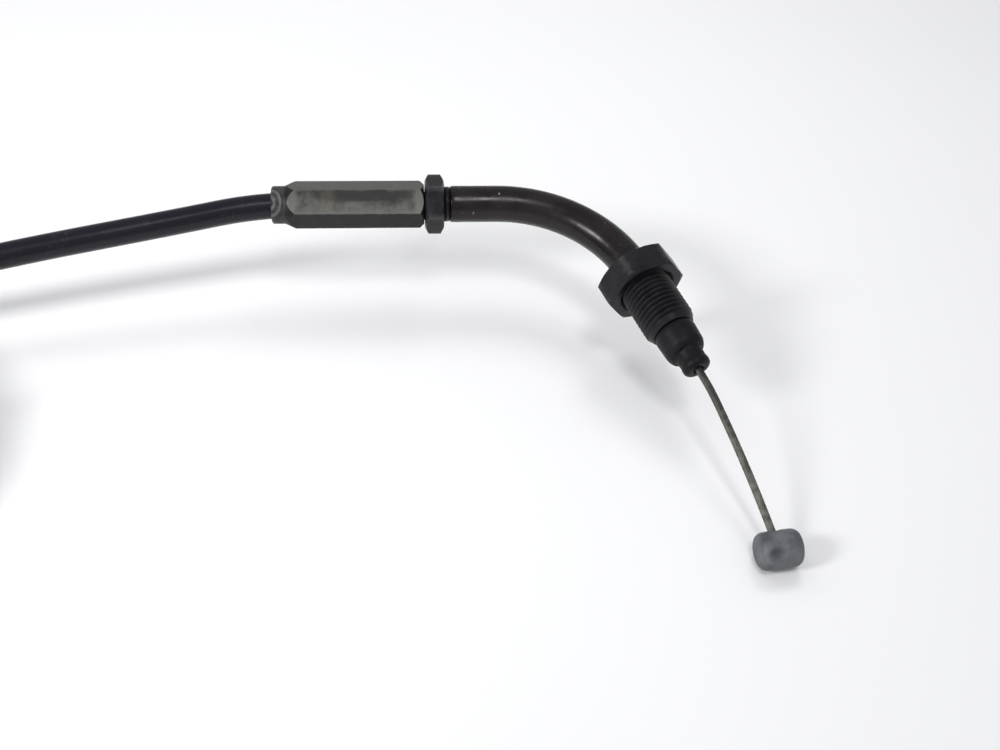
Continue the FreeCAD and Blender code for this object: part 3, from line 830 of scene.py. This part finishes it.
def barrel_nipple(name, centre, axis, length, radius, rounding, wire_side, front=None):
    """Cast barrel across the wire, with a pinched wire hole and a shallow hollow in its front."""
    half = length / 2
    corners = [(-half, 0.0002, 0), (-half, radius, rounding), (half, radius, rounding), (half, 0.0002, 0)]
    outline = softened(corners, 8)
    dense = []
    for (d0, r0), (d1, r1) in zip(outline, outline[1:]):
        pieces = max(1, int(math.hypot(d1 - d0, r1 - r0) / (0.16 * MM)))
        dense += [(d0 + (d1 - d0) * i / pieces, r0 + (r1 - r0) * i / pieces) for i in range(pieces)]
    dense.append(outline[-1])
    first, second = cross_frame(axis)

    def dent(d, angle, towards, width, height, depth):
        direction = first * math.cos(angle) + second * math.sin(angle)
        away = direction.angle(towards) * radius
        share = math.hypot(d / width, away / height)
        return depth * max(0.0, 1 - share * share) ** 1.5

    def cast(d, angle, r):
        if r < radius * 0.6:
            return r
        r -= dent(d, angle, wire_side, width=1.1 * MM, height=1.6 * MM, depth=0.7 * MM)
        if front is not None:
            r -= dent(d + HOLLOW_OFFSET, angle, front, width=1.9 * MM, height=1.2 * MM, depth=0.6 * MM)
        return r + 0.03 * MM * math.sin(3 * angle + d * 900)

    return lathe(name, centre, axis, dense, 144, cast)


def hollow_direction():
    """Which way the handlebar nipple's cast hollow faces."""
    front = Vector((-0.12, -0.76, 0.62))
    return (front - NIPPLE_AXIS * front.dot(NIPPLE_AXIS)).normalized()


def make_nipples(material):
    line = handlebar_wire_line()
    arrival = (line[-4] - NIPPLE).normalized()
    front = hollow_direction()
    piece = barrel_nipple(
        "nipple", NIPPLE, NIPPLE_AXIS, length=7.6 * MM, radius=3.3 * MM, rounding=1.5 * MM,
        wire_side=arrival, front=front,
    )
    dress(piece, material, "handlebar_wire", ["handlebar_nipple"])
    across = CARB_AXIS.cross(UP)
    piece = barrel_nipple(
        "small_nipple", CARB_NIPPLE, across, length=6 * MM, radius=2.5 * MM, rounding=0.7 * MM,
        wire_side=-CARB_AXIS,
    )
    dress(piece, material, "carb_wire", ["carb_nipple"])


# ---- pieces of the far end ------------------------------------------------------------------
def make_carb_end(plating, rubber_material):
    start = CARB_NIPPLE - CARB_AXIS * CARB_CAP_TO_NIPPLE
    crimps = [
        (place + along, 3.6 - depth, 0.3)
        for place in (1.2, 4.4)
        for along, depth in ((0, 0), (0.4, 0.3), (1.2, 0.3), (1.6, 0))
    ]
    corners = [(0, 2.52, 0), (0, 3.6, 0.5), *crimps, (9.0, 3.6, 0.4), (9.0, 1.1, 0), (0.4, 1.1, 0)]
    outline = softened([(d * MM, r * MM, f * MM) for d, r, f in corners])
    cap = lathe("carb_cap", start, CARB_AXIS, outline, closed=True)
    dress(cap, plating, "housing", ["carb_threaded_end"])
    stud_start = start + CARB_AXIS * CARB_CAP_LENGTH
    stud = threaded(
        "carb_stud", stud_start, CARB_AXIS, CARB_STUD_LENGTH, STUD_RADIUS, bore=1.1 * MM,
        chamfer=0.6 * MM, zone=(0.8 * MM, CARB_STUD_LENGTH),
    )
    dress(stud, plating, "housing", ["carb_threaded_end"])
    boot_start = CARB_BOOT_TIP - CARB_AXIS * CARB_BOOT_LENGTH
    corners = [
        (0, 3.03, 0), (0, 4.0, 0.4), (1.0, 4.0, 0.3), (1.3, 3.8, 0.2), (3.9, 3.8, 0.5), (4.8, 2.5, 0.6),
        (7.8, 2.0, 0.4), (8.2, 2.15, 0.3), (9.0, 1.9, 0.4), (9.0, 0.9, 0), (3.2, 0.9, 0), (3.1, 3.03, 0),
    ]
    outline = softened([(d * MM, r * MM, f * MM) for d, r, f in corners])
    boot = lathe("carb_boot_rubber", boot_start, CARB_AXIS, outline, closed=True)
    dress(boot, rubber_material, "housing", ["carb_boot"])
    return [cap, stud, boot]


def make_tie(name, node, material):
    """Nylon band round the turns, with rounded corners."""
    away = middle(node) - COIL_CENTRE
    outward = Vector((away.x, away.y, 0)).normalized()
    across = UP.cross(outward)
    centre = COIL_CENTRE + outward * COIL_MEAN_RADIUS + UP * COIL_MIDDLE_HEIGHT
    half_width = 1.9 * MM
    thickness = 0.7 * MM
    half_out = 5.1 * MM
    half_up = 7.6 * MM
    corner = 2.2 * MM
    ring_points = []
    for quarter in range(4):
        centre_out = (half_out - corner) * (1 if quarter in (0, 3) else -1)
        centre_up = (half_up - corner) * (1 if quarter in (0, 1) else -1)
        for i in range(9):
            turn = math.radians(90 * quarter + 90 * i / 8)
            out = Vector((math.cos(turn), math.sin(turn)))
            ring_points.append((Vector((centre_out, centre_up)) + out * corner, out))
    vertices = []
    for point, out in ring_points:
        for side, lift in ((-1, 0), (-1, 1), (1, 1), (1, 0)):
            place = point + out * thickness * lift
            vertices.append(centre + outward * place.x + UP * place.y + across * half_width * side)
    band = mesh_object(name, vertices, grid_faces(len(ring_points), 4, True), smooth=False)
    bevel = band.modifiers.new("edges", "BEVEL")
    bevel.width = 0.15 * MM
    bevel.limit_method = "ANGLE"
    return dress(band, material, "housing", [node])


# ---- CAD pieces that keep their shape --------------------------------------------------------
def finish_cad(node, material, edge=0.0):
    """Gives a CAD piece its material and, if edge is set, rounded edges of that width."""
    piece = frame["nodes"][node]
    piece.data.materials.clear()
    piece.data.materials.append(material)
    if edge:
        bevel = piece.modifiers.new("worn_edges", "BEVEL")
        bevel.width = edge
        bevel.segments = 3
        bevel.limit_method = "ANGLE"
        bevel.angle_limit = math.radians(24)
        bevel.harden_normals = False


housing = make_housing()
strand = wire_strand()
rubber_black = rubber()
zinc_grey = zinc()
plating = plated_steel()
tube_lacquer = lacquered_tube()
make_wires(strand)
make_elbow(tube_lacquer)
make_sleeve()
make_stud()
make_boot(rubber_black)
make_nipples(zinc_grey)
carb_pieces = make_carb_end(plating, rubber_black)
nylon = plain_plastic("tie_plastic", (0.012, 0.012, 0.013), (0.022, 0.022, 0.023), 0.45)
ties = [make_tie("tie_near", "coil_tie_near", nylon), make_tie("tie_far", "coil_tie_far", nylon)]

lock_nut_steel = black_steel("lock_nut_steel", BARREL, AXIS_X, edge_radius=0.0057)
mounting_nut_steel = black_steel("mounting_nut_steel", BEND_END, THREAD_AXIS, edge_radius=0.0080)
finish_cad("adjuster_barrel", worn_barrel(), edge=0.22 * MM)
finish_cad("lock_nut", lock_nut_steel, edge=0.15 * MM)
finish_cad("mounting_nut", mounting_nut_steel, edge=0.4 * MM)
for name in ("carb_rear_nut", "carb_front_nut"):
    finish_cad(name, plating, edge=0.15 * MM)
for name in ("housing_end_cap", "conduit_end"):
    finish_cad(name, plating)
liner_white = plain_plastic("liner_plastic", (0.72, 0.72, 0.69), (0.82, 0.82, 0.79), 0.4)
for name in ("elbow_liner", "liner_end"):
    finish_cad(name, liner_white)
for name in ("elbow_inner_wire", "adjuster_inner_wire"):
    finish_cad(name, strand)

print("housing length", line_length(housing))


# ---- floor, light and camera ----------------------------------------------------------------
FLOOR_HALF_SIDE = 3.0
FLOOR_GAP = 0.02 * MM                                    # below the part's lowest point
CAMERA_PITCH = 44.84                                     # degrees, as yaw and roll are
CAMERA_YAW = 7.15
CAMERA_ROLL = 4.07
CAMERA_PLACE = BARREL + Vector((4.10, -201.92, 154.57)) * MM
CAMERA_LENS = 46.2                                       # on a sensor 36 mm wide


def make_floor():
    half = FLOOR_HALF_SIDE
    vertices = [(-half, -half, 0), (half, -half, 0), (half, half, 0), (-half, half, 0)]
    floor = mesh_object("floor", vertices, [(0, 1, 2, 3)], smooth=False)
    floor.location.z = cad_bounds[0][2] - FLOOR_GAP
    floor.data.materials.append(floor_material())


def soft_box(name, direction, distance, size, power, spread=180, mirrored=True):
    """Square lamp aimed at the middle of the adjuster from one direction."""
    towards = Vector(direction).normalized()
    data = bpy.data.lights.new(name, "AREA")
    data.shape = "SQUARE"
    data.size = size
    data.energy = power
    data.spread = math.radians(spread)
    lamp = bpy.data.objects.new(name, data)
    lamp.location = BARREL + towards * distance
    lamp.rotation_euler = towards.to_track_quat("Z", "Y").to_euler()
    lamp.visible_glossy = mirrored
    bpy.context.scene.collection.objects.link(lamp)


def make_light():
    world = bpy.data.worlds.new("studio")
    world.use_nodes = True
    background = world.node_tree.nodes["Background"]
    background.inputs["Color"].default_value = (0.97, 0.98, 1.0, 1.0)
    background.inputs["Strength"].default_value = 0.47
    bpy.context.scene.world = world
    soft_box("front", (0.088, -0.351, 0.932), distance=0.9, size=0.20, power=0.105, spread=40)
    soft_box("left", (-0.72, -0.42, 0.56), distance=0.50, size=0.11, power=1.25)
    soft_box("behind", (0.27, 0.44, 0.86), distance=0.45, size=0.14, power=0.42, mirrored=False)
    soft_box("fill", (-0.35, 0.42, 0.84), distance=0.42, size=0.30, power=0.25, mirrored=False)
    bpy.context.scene.view_settings.view_transform = "Standard"


def make_camera():
    pitch = math.radians(CAMERA_PITCH)
    yaw = math.radians(CAMERA_YAW)
    roll = math.radians(CAMERA_ROLL)
    forward = Vector((math.sin(yaw) * math.cos(pitch), math.cos(yaw) * math.cos(pitch), -math.sin(pitch)))
    level = Vector((math.cos(yaw), -math.sin(yaw), 0))
    above = level.cross(forward)
    right = level * math.cos(roll) + above * math.sin(roll)
    up = above * math.cos(roll) - level * math.sin(roll)
    data = bpy.data.cameras.new("camera")
    data.sensor_width = 36.0
    data.lens = CAMERA_LENS
    data.clip_start = 0.01
    camera = bpy.data.objects.new("camera", data)
    rotation = Matrix((right, up, -forward)).transposed()
    camera.matrix_world = Matrix.Translation(CAMERA_PLACE) @ rotation.to_4x4()
    bpy.context.scene.collection.objects.link(camera)
    bpy.context.scene.camera = camera


make_floor()
make_light()
make_camera()
